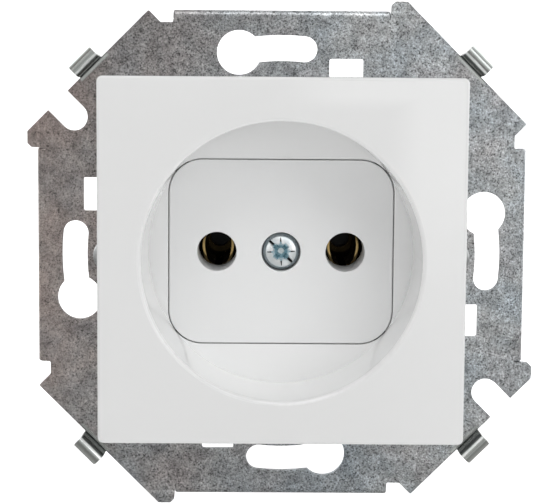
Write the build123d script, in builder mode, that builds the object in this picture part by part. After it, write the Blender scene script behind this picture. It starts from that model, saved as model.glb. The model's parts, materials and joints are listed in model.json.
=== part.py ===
from build123d import *

# Flush-mounted two-pin wall socket without earth, on a 71 mm mounting yoke.
#
# Frame: X to the right, Z up, Y into the wall. The wall plane is y = 0, the
# socket axis is x = 0, z = 0, and the room side is -Y. Millimetres.
import math
import os

os.makedirs("parts", exist_ok=True)

# ---- depths along Y ------------------------------------------------------
Y_FACE = -10.9      # front face of the cover plate
Y_SKIRT = -2.3      # back edge of the cover's skirt
Y_YOKE = -2.0       # front face of the yoke sheet
Y_FLOOR = 2.8       # floor of the plug recess, flush with the insert
Y_LEDGE = 4.0       # ledge in the cover that the insert clamps
Y_CUP = 5.0         # back of the cover's cup
Y_RET = 7.0         # front of the retainer plate
Y_BASE = 9.0        # front of the base housing
Y_TUBE = 10.5       # back of the insert's pin tubes
Y_STEP = 13.0       # back of the base housing's collar
Y_TERM = 18.6       # terminal screw axes
Y_REAR = 30.0       # back of the base housing

# ---- cover plate ---------------------------------------------------------
COVER = 52.0
COVER_R = 0.8
SKIRT_T = 1.8
COVER_IN = COVER - 2 * SKIRT_T
PLATE_T = 2.0
R_RIM = 19.85       # recess radius at the face
R_FLOOR = 19.60     # recess radius at the floor
CUP_T = 1.35
OPEN_X, OPEN_Z, OPEN_R = 33.38, 27.60, 5.04     # rebate for the insert
LEDGE_X, LEDGE_Z, LEDGE_R = 30.8, 25.0, 3.9     # opening behind its ledge

# ---- pins, wires and screws ----------------------------------------------
PIN_PITCH = 19.0    # two-pin plug spacing
PIN_X = PIN_PITCH / 2
PIN_R = 2.9
TUBE_R = 4.2
WIRE_Z = -7.2
PINS = ((-PIN_X, 0), (PIN_X, 0))
WIRES = ((-PIN_X, WIRE_Z), (PIN_X, WIRE_Z))
CENTRE_HOLE_R = 1.65
NUT, NUT_T = 5.5, 1.8       # square nut on the centre screw
NUT_GAP = 0.05              # clearance all round in its slot
Y_NUT_SLOT = 17.0
RET_SCREW_Z = 14.5
RET_SCREWS = ((0, RET_SCREW_Z), (0, -RET_SCREW_Z))
THREAD_HOLE_R = 1.76        # threaded hole for terminal and claw screws
THREAD_R = 1.7              # terminal and claw screw shanks

# ---- base housing --------------------------------------------------------
COLLAR_X, COLLAR_Z, COLLAR_R = 39.0, 36.0, 3.0  # retainer plate outline as well
BODY_X, BODY_Z, BODY_R = COLLAR_X - 0.8, COLLAR_Z - 0.8, 2.8

# ---- yoke ----------------------------------------------------------------
T_YOKE = 1.0        # sheet thickness
HALF = 70.7 / 2     # half size over the flanges
EDGE = HALF - 1.2   # sheet edge where a flange starts
FLANGE_START, FLANGE_END = -15.75, 15.4
HOOK = 36.75        # half size over the interlock hooks
R_SCREWS = 30.0     # box screws on a 60 mm circle
SLOT_W = 3.7
KEY_R = 3.2
KEY_ANGLE = math.radians(102.1)
R_OPEN = 21.9
LUG_BEND_R = 1.3    # outer bend radius of the lugs
# Windows through the sheet at the top, left, bottom and right, seen from the room:
# offset along the side, width, outer edge
WINDOWS = ((9.15, 4.90, 28.5), (8.80, 4.85, 28.7), (9.16, 4.60, 28.6), (9.35, 4.75, 28.7))
WINDOW_INNER = 24.5
# One side of the outline (x, z); the other three are this one turned by quarters
YOKE_SIDE = (
    (-19.3, 35.3), (-17.6, 33.6), (FLANGE_START, 33.6), (FLANGE_START, EDGE),
    (FLANGE_END, EDGE), (15.55, 36.2), (16.1, HOOK), (17.85, HOOK),
)

# ---- claws ---------------------------------------------------------------
CLAW_X = 24.5
CLAW_Y = 26.0       # trunnion at rest
CLAW_L = 15.0


def at(y):
    """Sketch plane at depth y, facing the room, with local axes X and Z.

    A negative extrusion from it runs into the wall.
    """
    return Plane.XZ.offset(-y)


def polar(centre, radius, degrees):
    angle = math.radians(degrees)
    return (centre[0] + radius * math.cos(angle), centre[1] + radius * math.sin(angle))


def front_outline(builder):
    """Outer edges of the face nearest the room."""
    return builder.faces().sort_by(Axis.Y)[0].outer_wire().edges()


def circles_at(builder, radius, y):
    """Circular edges of one radius at depth y."""
    return builder.edges().filter_by(GeomType.CIRCLE).filter_by(
        lambda e: abs(e.radius - radius) < 0.01 and abs(e.center().Y - y) < 0.01)


def save(part, name):
    part.label = name
    export_step(part, f"parts/{name}.step")


# ==========================================================================
# cover and insert
# ==========================================================================
def cover_plate():
    y_inside = Y_FACE + PLATE_T
    cup_r = R_FLOOR + CUP_T
    rib_x, rib_l, rib_t, rib_depth = 23.0, 7.0, 1.2, 2.6
    leg_w, leg_t, leg_z, leg_l = 3.9, 1.2, 25.25, 11.4
    y_notch, notch_w, notch_depth = -4.4, 6.6, 2.4

    with BuildPart() as cover:
        with BuildSketch(at(Y_FACE)):
            RectangleRounded(COVER, COVER, COVER_R)
        extrude(amount=-(Y_SKIRT - Y_FACE))
        with BuildSketch(at(y_inside)):
            RectangleRounded(COVER_IN, COVER_IN, 0.6)
        extrude(amount=-(Y_SKIRT - y_inside), mode=Mode.SUBTRACT)
        # stiffening ribs between the cup and the skirt
        with BuildSketch(at(y_inside)):
            with PolarLocations(0, 8, start_angle=22.5):
                with Locations((rib_x, 0)):
                    Rectangle(rib_l, rib_t)
        extrude(amount=-rib_depth)
        # cup that forms the plug recess
        with BuildSketch(Plane.XY):
            with BuildLine():
                Polyline(
                    (0, Y_FACE + 1.0), (R_RIM + CUP_T, Y_FACE + 1.0),
                    (cup_r + 0.1, Y_CUP - 0.6), (cup_r - 0.5, Y_CUP),
                    (0, Y_CUP), close=True)
            make_face()
        revolve(axis=Axis.Y)
        with BuildSketch(Plane.XY):
            with BuildLine():
                Polyline(
                    (0, Y_FACE), (R_RIM, Y_FACE), (R_FLOOR, Y_FLOOR), (0, Y_FLOOR), close=True)
            make_face()
        revolve(axis=Axis.Y, mode=Mode.SUBTRACT)
        # rebate for the insert, and the opening behind its ledge
        with BuildSketch(at(Y_FLOOR)):
            RectangleRounded(OPEN_X, OPEN_Z, OPEN_R)
        extrude(amount=-(Y_LEDGE - Y_FLOOR), mode=Mode.SUBTRACT)
        with BuildSketch(at(Y_LEDGE)):
            RectangleRounded(LEDGE_X, LEDGE_Z, LEDGE_R)
        extrude(amount=-(Y_CUP - Y_LEDGE), mode=Mode.SUBTRACT)
        # notches in the skirt over the claw screw heads
        with BuildSketch(at(y_notch)):
            Rectangle(COVER + 2, notch_w)
            Rectangle(COVER_IN - 0.2, notch_w + 0.4, mode=Mode.SUBTRACT)
        extrude(amount=-notch_depth, mode=Mode.SUBTRACT)
        # four locating legs that reach through the yoke's windows
        with BuildSketch(at(y_inside - 0.1)):
            for k, (offset, _, _) in enumerate(WINDOWS):
                with Locations(Rotation(0, 0, 90 * k)):
                    with Locations((offset, leg_z)):
                        Rectangle(leg_w, leg_t)
        extrude(amount=-leg_l)
        # rounded rim and rounded face edges
        fillet(circles_at(cover, R_RIM, Y_FACE), 0.6)
        fillet(front_outline(cover), 0.5)
    return cover.part


def contact_insert():
    """The face the plug pins enter, clamping the cover."""
    edge_gap = 0.16         # round the flange, in the cover's rebate
    plug_gap = 0.15         # round the block, in the opening behind the ledge
    y_plug = Y_FLOOR + 1.0
    tube_overlap = 0.2
    head_r, head_depth = 2.9, 2.4
    pocket_x, pocket_z, pocket_r, pocket_depth = 25.0, 5.4, 1.5, 2.2
    pocket_at = 8.6

    with BuildPart() as insert:
        with BuildSketch(at(Y_FLOOR)):
            RectangleRounded(OPEN_X - 2 * edge_gap, OPEN_Z - 2 * edge_gap, OPEN_R - edge_gap)
        extrude(amount=-(Y_LEDGE - Y_FLOOR - 0.04))
        fillet(front_outline(insert), 0.14)
        with BuildSketch(at(y_plug)):
            RectangleRounded(LEDGE_X - 2 * plug_gap, LEDGE_Z - 2 * plug_gap, LEDGE_R - plug_gap)
        extrude(amount=-(Y_RET - y_plug))
        with BuildSketch(at(Y_RET - tube_overlap)):
            with Locations(*PINS):
                Circle(TUBE_R)
        extrude(amount=-(Y_TUBE - Y_RET + tube_overlap))
        with BuildSketch(at(Y_FLOOR)):
            with Locations(*PINS):
                Circle(PIN_R)
        extrude(amount=-(Y_TUBE - Y_FLOOR), mode=Mode.SUBTRACT)
        # counterbore and hole for the centre screw
        with BuildSketch(at(Y_FLOOR)):
            Circle(head_r)
        extrude(amount=-head_depth, mode=Mode.SUBTRACT)
        with BuildSketch(at(Y_FLOOR)):
            Circle(CENTRE_HOLE_R)
        extrude(amount=-6.0, mode=Mode.SUBTRACT)
        # moulding pockets in the back, above and below the tubes
        with BuildSketch(at(Y_RET)):
            with Locations((0, pocket_at), (0, -pocket_at)):
                RectangleRounded(pocket_x, pocket_z, pocket_r)
        extrude(amount=pocket_depth, mode=Mode.SUBTRACT)
        fillet(circles_at(insert, PIN_R, Y_FLOOR), 0.22)
    return insert.part


# ==========================================================================
# centre screw, combined slot and cross recess, and its captive square nut
# ==========================================================================
def centre_screw():
    y_head, y_under, y_tip = Y_FLOOR + 0.35, 5.18, 22.0
    y_cut = y_head - 0.1        # the drive cuts start just in front of the head
    crown, shoulder = (1.3, y_head + 0.05), (2.68, y_head + 1.05)
    shank_r, tip_r = 1.45, 0.9
    drive_angle = -43
    slot_w, slot_depth = 0.60, 0.85
    cross_l, cross_w, cross_r, cross_depth = 2.9, 0.80, 0.85, 1.35
    tick_at, tick_l, tick_w, tick_depth = 1.45, 0.95, 0.16, 0.32

    with BuildPart() as screw:
        with BuildSketch(Plane.XY):
            with BuildLine():
                Line((0, y_head), crown)
                ThreePointArc(crown, (2.36, y_head + 0.42), shoulder)
                Polyline(
                    shoulder, (shoulder[0], y_under), (shank_r, y_under),
                    (shank_r, y_tip - 0.6), (tip_r, y_tip), (0, y_tip), (0, y_head))
            make_face()
        revolve(axis=Axis.Y)
        # straight slot through the head
        with BuildSketch(at(y_cut)):
            with Locations(Rotation(0, 0, drive_angle)):
                Rectangle(6.0, slot_w)
        extrude(amount=-slot_depth, mode=Mode.SUBTRACT)
        # cross recess
        with BuildSketch(at(y_cut)):
            with Locations(Rotation(0, 0, drive_angle)):
                Rectangle(cross_l, cross_w)
                Rectangle(cross_w, cross_l)
                Circle(cross_r)
        extrude(amount=-cross_depth, mode=Mode.SUBTRACT)
        # four tick lines between the wings of the cross
        with BuildSketch(at(y_cut)):
            with Locations(Rotation(0, 0, drive_angle + 45)):
                with PolarLocations(tick_at, 4):
                    Rectangle(tick_l, tick_w)
        extrude(amount=-tick_depth, mode=Mode.SUBTRACT)
    return screw.part


def centre_nut():
    with BuildPart() as nut:
        with BuildSketch(at(Y_NUT_SLOT + NUT_GAP)):
            Rectangle(NUT, NUT)
            Circle(1.52, mode=Mode.SUBTRACT)
        extrude(amount=-NUT_T)
        chamfer(nut.edges().filter_by(Axis.Y), 0.4)
    return nut.part


# ==========================================================================
# yoke: one stamped sheet with flanges, hooks, keyholes, lugs and clips
# ==========================================================================
def yoke_flange():
    """Flange on the top side, bent back to the wall plane."""
    bend_r = 0.85
    with BuildPart() as flange:
        with BuildSketch(Plane.YZ.offset(FLANGE_START)):
            with BuildLine():
                CenterArc((Y_YOKE + bend_r, HALF - bend_r), bend_r, 90, 90)
                Polyline(
                    (Y_YOKE + bend_r, HALF), (0, HALF), (0, HALF - T_YOKE),
                    (Y_YOKE + T_YOKE, HALF - T_YOKE), (Y_YOKE + T_YOKE, EDGE),
                    (Y_YOKE, EDGE), (Y_YOKE, HALF - bend_r))
            make_face()
        extrude(amount=FLANGE_END - FLANGE_START)
        ends = flange.edges().filter_by(Axis.Y).filter_by(
            lambda e: abs(e.center().Z - HALF) < 0.01)
        fillet(ends, 0.3)
    return flange.part


def corner_clip():
    """Spring clip at a corner: bends towards the room, then curls outwards and back.

    The profile lies along the diagonal: first coordinate outwards, second
    towards the room from the front of the sheet.
    """
    root, bend_start = 37.6, 38.3
    mid = -T_YOKE / 2           # centre line of the sheet
    half_t = 0.45
    bend_r, curl_r = 0.8, 0.60  # to the centre line
    lean, curl = 86.0, 205.0    # degrees turned by the bend and by the curl
    rise = 1.75                 # straight length between them
    width = 4.2
    shift = 0.38                # the clips sit a little off the diagonals

    across = lean - 90
    bend_centre = (bend_start, mid + bend_r)
    rise_start = polar(bend_centre, bend_r, across)
    rise_end = polar(rise_start, rise, lean)
    curl_centre = polar(rise_end, curl_r, across)
    curl_start = 90 + lean
    curl_end = curl_start - curl
    side_step = shift / math.sqrt(2)
    diagonal = Plane(origin=(-side_step, Y_YOKE, side_step), x_dir=(1, 0, 1), z_dir=(1, 0, -1))

    with BuildPart() as clip:
        with BuildSketch(diagonal):
            with BuildLine():
                Line((root, mid + half_t), (bend_start, mid + half_t))
                CenterArc(bend_centre, bend_r - half_t, -90, lean)
                Line(polar(rise_start, -half_t, across), polar(rise_end, -half_t, across))
                CenterArc(curl_centre, curl_r + half_t, curl_start, -curl)
                Line(polar(curl_centre, curl_r + half_t, curl_end),
                     polar(curl_centre, curl_r - half_t, curl_end))
                CenterArc(curl_centre, curl_r - half_t, curl_end, curl)
                Line(polar(rise_end, half_t, across), polar(rise_start, half_t, across))
                CenterArc(bend_centre, bend_r + half_t, across, -lean)
                Line((bend_start, mid - half_t), (root, mid - half_t))
                Line((root, mid - half_t), (root, mid + half_t))
            make_face()
        extrude(amount=width / 2, both=True)
        # rounded plan corners
        with BuildSketch(Plane(origin=(0, 5, 0), x_dir=(1, 0, 1), z_dir=(0, -1, 0))):
            with Locations((38.1, shift)):
                RectangleRounded(6.1, width, 0.75)
        extrude(amount=20.0, mode=Mode.INTERSECT)
    return clip.part


def yoke_lug():
    """Lug that holds the base housing, bent back from the edge of the opening."""
    y_end, y_window = 18.0, 12.0
    y_bend = Y_YOKE + LUG_BEND_R
    z_bend = R_OPEN + LUG_BEND_R
    with BuildPart() as lug:
        with BuildSketch(Plane.YZ):
            with BuildLine():
                CenterArc((y_bend, z_bend), LUG_BEND_R, 180, 90)
                Polyline(
                    (y_bend, R_OPEN), (y_end, R_OPEN),
                    (y_end, R_OPEN + T_YOKE), (y_bend, R_OPEN + T_YOKE))
                CenterArc((y_bend, z_bend), LUG_BEND_R - T_YOKE, 180, 90)
                Line((Y_YOKE + T_YOKE, z_bend), (Y_YOKE, z_bend))
            make_face()
        extrude(amount=6.0, both=True)
        with BuildSketch(Plane.XY.offset(R_OPEN - 1)):
            with Locations((0, y_window)):
                Rectangle(6.0, 4.0)
        extrude(amount=3.0, mode=Mode.SUBTRACT)
        fillet(lug.edges().filter_by(Axis.Z).filter_by(lambda e: e.center().Y > y_end - 0.1), 1.5)
    return lug.part


def yoke():
    flange, clip, lug = yoke_flange(), corner_clip(), yoke_lug()
    outline = []
    side = YOKE_SIDE
    for _ in range(4):
        outline += side
        side = [(z, -x) for x, z in side]
    keyhole_arc = CenterArc((0, 0), R_SCREWS, 84.05, 18.0)
    key_centre = (R_SCREWS * math.cos(KEY_ANGLE), R_SCREWS * math.sin(KEY_ANGLE))
    lug_gap_w = 14.2
    notch_x, notch_z, notch_l, notch_w = 30.05, 19.95, 12.0, 4.0

    with BuildPart() as frame:
        with BuildSketch(at(Y_YOKE + T_YOKE)) as sheet:
            with BuildLine():
                Polyline(*outline, close=True)
            make_face()
            # all corners but the flange roots on the left and right sides
            fillet(sheet.vertices().filter_by(lambda v: abs(abs(v.X) - EDGE) > 0.01), 0.22)
            Circle(R_OPEN, mode=Mode.SUBTRACT)
            Rectangle(lug_gap_w, 2 * (R_OPEN + LUG_BEND_R), mode=Mode.SUBTRACT)
            with Locations((CLAW_X, 0), (-CLAW_X, 0)):
                Circle(1.9, mode=Mode.SUBTRACT)
            for k, (offset, width, outer) in enumerate(WINDOWS):
                with Locations(Rotation(0, 0, 90 * k)):
                    SlotArc(arc=keyhole_arc, height=SLOT_W, mode=Mode.SUBTRACT)
                    with Locations(key_centre):
                        Circle(KEY_R, mode=Mode.SUBTRACT)
                    with Locations((offset, (outer + WINDOW_INNER) / 2)):
                        RectangleRounded(width, outer - WINDOW_INNER, 0.3, mode=Mode.SUBTRACT)
            # open U notches towards the upper left and lower right corners
            for sign, angle in ((1, 135), (-1, -45)):
                with Locations(Location((-notch_x * sign, notch_z * sign), angle)):
                    with Locations((notch_l / 2, 0)):
                        SlotCenterToCenter(notch_l, notch_w, mode=Mode.SUBTRACT)
        extrude(amount=T_YOKE)
        for k in range(4):
            add(flange.rotate(Axis.Y, 90 * k))
        for k in range(4):
            add(clip.rotate(Axis.Y, 90 * k))
        for k in range(2):
            add(lug.rotate(Axis.Y, 180 * k))
    return frame.part


# ==========================================================================
# retainer plate and its two screws
# ==========================================================================
def retainer_plate():
    with BuildPart() as plate:
        with BuildSketch(at(Y_RET)):
            RectangleRounded(COLLAR_X, COLLAR_Z, COLLAR_R)
            with Locations(*PINS):
                Circle(TUBE_R + 0.2, mode=Mode.SUBTRACT)
            Circle(1.8, mode=Mode.SUBTRACT)
            with Locations(*RET_SCREWS):
                Circle(1.45, mode=Mode.SUBTRACT)
        extrude(amount=-(Y_BASE - Y_RET))
        # counterbores for the screw heads
        with BuildSketch(at(Y_RET)):
            with Locations(*RET_SCREWS):
                Circle(2.7)
        extrude(amount=-1.2, mode=Mode.SUBTRACT)
        chamfer(front_outline(plate), 0.4)
    return plate.part


def retainer_screws():
    # half profile: radius, y
    profile = (
        (0, Y_RET + 0.1), (2.1, Y_RET + 0.1), (2.4, Y_RET + 0.4), (2.4, Y_RET + 1.2),
        (1.25, Y_RET + 1.2), (1.25, 14.6), (0.4, 15.8), (0, 15.8),
    )
    cross_l, cross_w, cross_depth = 2.6, 0.6, 0.8
    with BuildPart() as screws:
        for z in (RET_SCREW_Z, -RET_SCREW_Z):
            with BuildSketch(Plane.XY.offset(z)):
                with BuildLine():
                    Polyline(*profile, close=True)
                make_face()
            revolve(axis=Axis((0, 0, z), (0, 1, 0)))
        with BuildSketch(at(Y_RET)):
            with Locations(*RET_SCREWS):
                Rectangle(cross_l, cross_w)
                Rectangle(cross_w, cross_l)
        extrude(amount=-cross_depth, mode=Mode.SUBTRACT)
    return screws.part


# ==========================================================================
# base housing
# ==========================================================================
def base_housing():
    y_body = Y_BASE + 2.0
    y_panel, panel_depth = 21.0, 0.5
    chamber_x, chamber_z, chamber_at, chamber_depth = 9.2, 21.1, -5.95, 18.0
    ear_x, ear_z, ear_at, ear_depth = 11.0, 4.4, 19.5, 7.0
    field_z = 8.0
    rib_inner, rib_t = 2.5, 2.4
    # latch profile (y, z) and claw wedge rib outline (x, y), both mirrored
    latch = ((10.2, 21.5), (10.2, 22.75), (11.0, 22.75), (13.8, 21.9), (13.8, 21.5))
    wedge = ((19.2, 13.0), (22.0, 10.1), (26.2, 5.63), (26.2, -0.95),
             (22.2, -0.95), (22.2, 8.0), (19.2, 9.25))

    with BuildPart() as base:
        # slightly smaller body, then the collar behind the retainer plate
        with BuildSketch(at(y_body)):
            RectangleRounded(BODY_X, BODY_Z, BODY_R)
        extrude(amount=-(Y_REAR - y_body))
        fillet(base.faces().sort_by(Axis.Y)[-1].edges(), 1.0)
        with BuildSketch(at(Y_BASE)):
            RectangleRounded(COLLAR_X, COLLAR_Z, COLLAR_R)
        extrude(amount=-(Y_STEP - Y_BASE))
        # moulded relief: ribbed side panels facing the claws, ribs above and below
        for sign in (1, -1):
            with BuildSketch(Plane.YZ.offset(sign * BODY_X / 2)):
                with Locations((y_panel, 0)):
                    RectangleRounded(11.0, 14.0, 1.5)
            extrude(amount=-panel_depth * sign, mode=Mode.SUBTRACT)
            with BuildSketch(Plane.YZ.offset(sign * (BODY_X / 2 - panel_depth))):
                with GridLocations(0, 3.6, 1, 3):
                    with Locations((y_panel, 0)):
                        SlotOverall(8.0, 0.8)
            extrude(amount=0.35 * sign)
        for sign in (1, -1):
            for x in (-16.0, -12.6, 12.6, 16.0):
                with BuildSketch(Plane.XY.offset(sign * (BODY_Z / 2 - 0.5))):
                    with Locations((x, 20.0)):
                        Rectangle(0.9, 14.2)
                extrude(amount=0.9 * sign)
        # one chamber per pole: contact above, terminal below
        with BuildSketch(at(Y_BASE)):
            with Locations((-PIN_X, chamber_at), (PIN_X, chamber_at)):
                Rectangle(chamber_x, chamber_z)
        extrude(amount=-chamber_depth, mode=Mode.SUBTRACT)
        # wire entries in the back
        with BuildSketch(at(Y_BASE)):
            with Locations(*WIRES):
                Circle(2.0)
        extrude(amount=-30.0, mode=Mode.SUBTRACT)
        # screwdriver access to the terminals, from below
        with BuildSketch(Plane.XY.offset(-20.0)):
            with Locations((-PIN_X, 18.5), (PIN_X, 18.5)):
                Circle(2.5)
        extrude(amount=5.0, mode=Mode.SUBTRACT)
        # centre screw and its nut slot
        with BuildSketch(at(Y_BASE)):
            Circle(CENTRE_HOLE_R)
        extrude(amount=-15.0, mode=Mode.SUBTRACT)
        with BuildSketch(at(Y_NUT_SLOT)):
            with Locations((0, 8.1)):
                Rectangle(NUT + 2 * NUT_GAP, 22.0)
        extrude(amount=-(NUT_T + 2 * NUT_GAP), mode=Mode.SUBTRACT)
        # retainer screw holes
        with BuildSketch(at(Y_BASE)):
            with Locations(*RET_SCREWS):
                Circle(1.3)
        extrude(amount=-7.5, mode=Mode.SUBTRACT)
        # ears and latches that engage the yoke's lugs
        with BuildSketch(at(Y_BASE)):
            with Locations((0, ear_at), (0, -ear_at)):
                Rectangle(ear_x, ear_z)
        extrude(amount=-ear_depth)
        for sign in (1, -1):
            with BuildSketch(Plane.YZ):
                with BuildLine():
                    Polyline(*[(y, z * sign) for y, z in latch], close=True)
                make_face()
            extrude(amount=2.7, both=True)
        # wedge ribs that spread the claws, two each side, either side of the screw
        for sign in (1, -1):
            for z in (rib_inner, -rib_inner - rib_t):
                with BuildSketch(Plane.XY.offset(z)):
                    with BuildLine():
                        Polyline(*[(x * sign, y) for x, y in wedge], close=True)
                    make_face()
                extrude(amount=rib_t)
        # recessed field on the back, with the strip-length gauge in it
        with BuildSketch(at(Y_REAR)):
            with Locations((0, field_z)):
                RectangleRounded(30.0, 9.0, 1.2)
        extrude(amount=0.4, mode=Mode.SUBTRACT)
        with BuildSketch(at(Y_REAR)):
            with Locations((0, field_z)):
                SlotOverall(13.0, 2.0)
        extrude(amount=1.0, mode=Mode.SUBTRACT)
        # groove round each wire entry, and ejector pin marks in the corners
        with BuildSketch(at(Y_REAR)):
            with Locations(*WIRES):
                Circle(3.9)
                Circle(3.1, mode=Mode.SUBTRACT)
        extrude(amount=0.5, mode=Mode.SUBTRACT)
        with BuildSketch(at(Y_REAR)):
            with GridLocations(31.0, 28.0, 2, 2):
                Circle(1.2)
        extrude(amount=0.25, mode=Mode.SUBTRACT)
    return base.part


# ==========================================================================
# contacts and terminals, one per pole; side is -1 on the left, 1 on the right
# ==========================================================================
def contact(side):
    """Two sprung leaves, and a tail into the terminal."""
    pole_x = PIN_X * side
    y_leaf, leaf_l, leaf_t = 11.3, 13.3, 0.36
    y_web, sheet_t = 24.3, 0.8
    with BuildPart() as spring:
        # two bowed leaves that neck together under the pin
        for s in (1, -1):
            neck = (pole_x + 1.72 * s, -2.2)
            with BuildSketch(at(y_leaf)):
                with BuildLine() as leaf:
                    ThreePointArc((pole_x + 1.70 * s, 2.5), (pole_x + 2.22 * s, 0.1), neck)
                    ThreePointArc(neck, (pole_x + 1.30 * s, -2.72), (pole_x + 0.62 * s, -3.0))
                trace(leaf.line, line_width=leaf_t)
            extrude(amount=-leaf_l)
        # back web with windows for the pin tip and the wire
        with BuildSketch(at(y_web)):
            with Locations((pole_x, -2.8)):
                Rectangle(6.8, 13.2)
            with Locations((pole_x, WIRE_Z)):
                Circle(2.1, mode=Mode.SUBTRACT)
            with Locations((pole_x, 0.0)):
                Circle(1.5, mode=Mode.SUBTRACT)
        extrude(amount=-sheet_t)
        # tail under the wire
        with BuildSketch(Plane.XY.offset(-9.4)):
            with Locations((pole_x, 19.7)):
                Rectangle(5.2, 10.8)
        extrude(amount=sheet_t)
    return spring.part


def terminal_clamp(side):
    """Cage of a lift clamp: the screw turns in place and the cage moves."""
    pole_x = PIN_X * side
    depth = 6.0
    with BuildPart() as clamp:
        with BuildSketch(at(Y_TERM - depth / 2)):
            with Locations((pole_x, -8.35)):
                RectangleRounded(7.4, 6.7, 0.5)
            with Locations((pole_x, -7.9)):
                Rectangle(5.7, 3.8, mode=Mode.SUBTRACT)
        extrude(amount=-depth)
        with BuildSketch(Plane.XY.offset(-13.0)):
            with Locations((pole_x, Y_TERM)):
                Circle(THREAD_HOLE_R)
        extrude(amount=4.0, mode=Mode.SUBTRACT)
    return clamp.part


def terminal_screw(side):
    pole_x = PIN_X * side
    # half profile: radius, z
    profile = (
        (0, -9.45), (1.2, -9.45), (THREAD_R, -9.9), (THREAD_R, -14.1),
        (3.0, -14.1), (3.0, -15.9), (2.6, -16.3), (0, -16.3),
    )
    with BuildPart() as screw:
        with BuildSketch(at(Y_TERM)):
            with BuildLine():
                Polyline(*[(pole_x + r, z) for r, z in profile], close=True)
            make_face()
        revolve(axis=Axis((pole_x, Y_TERM, 0), (0, 0, 1)))
        # slot in the head
        with BuildSketch(Plane.XY.offset(-16.4)):
            with Locations((pole_x, Y_TERM)):
                Rectangle(8.0, 0.9)
        extrude(amount=1.0, mode=Mode.SUBTRACT)
    return screw.part


# ==========================================================================
# claws: screw turns in the yoke, trunnion nut travels, claw swings on it
# ==========================================================================
def claw_screw(side):
    axis_x = CLAW_X * side
    y_head, y_under, y_tip = Y_YOKE - 2.0, Y_YOKE - 0.03, 29.9
    crown = (axis_x + 2.1, y_head)
    shoulder = (axis_x + 2.73, y_head + 0.6)
    with BuildPart() as screw:
        with BuildSketch(Plane.XY):
            with BuildLine():
                Polyline((axis_x, y_head), crown)
                ThreePointArc(crown, (axis_x + 2.56, y_head + 0.18), shoulder)
                Polyline(
                    shoulder, (shoulder[0], y_under), (axis_x + THREAD_R, y_under),
                    (axis_x + THREAD_R, y_tip - 0.7), (axis_x + 1.0, y_tip),
                    (axis_x, y_tip), (axis_x, y_head))
            make_face()
        revolve(axis=Axis((axis_x, 0, 0), (0, 1, 0)))
        # slot and cross recess in the head
        with BuildSketch(at(y_head - 0.1)):
            with Locations((axis_x, 0)):
                with Locations(Rotation(0, 0, 20 * side)):
                    Rectangle(6.4, 0.8)
                    Rectangle(3.0, 0.9)
                    Rectangle(0.9, 3.0)
        extrude(amount=-1.1, mode=Mode.SUBTRACT)
    return screw.part


def claw_nut(side):
    axis_x = CLAW_X * side
    body_half, pin_half = 2.9, 4.3      # half lengths along Z
    with BuildPart() as nut:
        with BuildSketch(Plane.XY.offset(-body_half)):
            with Locations((axis_x, CLAW_Y)):
                RectangleRounded(4.6, 4.2, 0.5)
        extrude(amount=2 * body_half)
        with BuildSketch(Plane.XY.offset(-pin_half)):
            with Locations((axis_x, CLAW_Y)):
                Circle(1.5)
        extrude(amount=2 * pin_half)
        with BuildSketch(at(CLAW_Y - 4)):
            with Locations((axis_x, 0)):
                Circle(THREAD_HOLE_R)
        extrude(amount=-8.0, mode=Mode.SUBTRACT)
    return nut.part


def claw(side):
    half_w, cheek_t = 4.2, 1.1
    # cheek outline (x, y) with teeth on the outer edge of the nose
    nose = CLAW_Y - CLAW_L
    cheek = [(22.0, nose), (23.2, nose - 0.6), (25.4, nose - 0.4)]
    for i in range(5):
        tooth_y = nose + 0.4 + 1.5 * i
        cheek += [(28.4, tooth_y), (27.2, tooth_y + 0.9)]
    cheek += [(27.7, nose + 8.2), (27.7, CLAW_Y + 1.0), (26.4, CLAW_Y + 2.6),
              (22.9, CLAW_Y + 2.6), (22.0, CLAW_Y + 1.4)]
    with BuildPart() as body:
        for z in (half_w - cheek_t, -half_w):
            with BuildSketch(Plane.XY.offset(z)):
                with BuildLine():
                    Polyline(*[(x * side, y) for x, y in cheek], close=True)
                make_face()
                with Locations((CLAW_X * side, CLAW_Y)):
                    Circle(1.56, mode=Mode.SUBTRACT)
            extrude(amount=cheek_t)
        # web joining the cheeks outside the screw
        with BuildSketch(Plane.XY.offset(-half_w)):
            with Locations((27.15 * side, nose + 9.9)):
                Rectangle(1.1, 5.0)
        extrude(amount=2 * half_w)
    return body.part


for build in (cover_plate, contact_insert, centre_screw, centre_nut, yoke,
              retainer_plate, retainer_screws, base_housing):
    save(build(), build.__name__)
for build in (contact, terminal_clamp, terminal_screw, claw_screw, claw_nut, claw):
    for side_name, side_sign in (("left", -1), ("right", 1)):
        save(build(side_sign), f"{build.__name__}_{side_name}")
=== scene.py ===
"""A recessed wall socket: white cover and insert, zinc yoke with claws, dark housing, brass contacts.

It is seen from the front, from -Y. +X is right, +Z is up and +Y runs back into the wall. The origin
lies on the axis of the centre screw. The CAD pieces get materials and worn edges, and the screws
are rebuilt in full. Screws and the camera are given in mm; materials and the studio in metres.
"""
import bpy
import bmesh
import json
import math
import random
from collections import namedtuple
from mathutils import Matrix, Vector


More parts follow.
